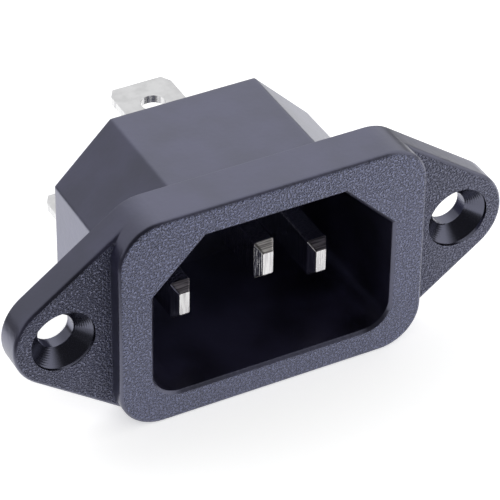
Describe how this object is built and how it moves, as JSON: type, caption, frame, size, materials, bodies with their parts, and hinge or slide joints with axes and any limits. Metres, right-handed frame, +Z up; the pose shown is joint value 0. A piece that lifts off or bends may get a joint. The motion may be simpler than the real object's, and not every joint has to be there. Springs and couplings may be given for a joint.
{
  "type": "c14 panel inlet socket",
  "caption": "Screw-mounted panel power inlet with a keyed socket, flat blade pins, a countersunk flange and push-on tabs behind the panel.",
  "frame": {"origin": "on the seating plane of the flange, midway between the two screw holes", "axes": "+X to the right as seen by someone plugging in, +Z up, the front faces -Y and the shroud and tabs go through the panel along +Y"},
  "size_m": [0.0494, 0.0285, 0.0224],
  "materials": {
    "moulded_black_plastic": "fine spark-eroded grain on the front faces, smooth semi-gloss elsewhere",
    "nickel_plated_brass": "satin nickel plating"
  },
  "bodies": {
    "root": {"inlet_housing": "moulded_black_plastic", "left_power_pin": "nickel_plated_brass", "left_power_tab": "nickel_plated_brass", "right_power_pin": "nickel_plated_brass", "right_power_tab": "nickel_plated_brass", "earth_pin": "nickel_plated_brass", "earth_tab": "nickel_plated_brass"}
  },
  "joints": []
}
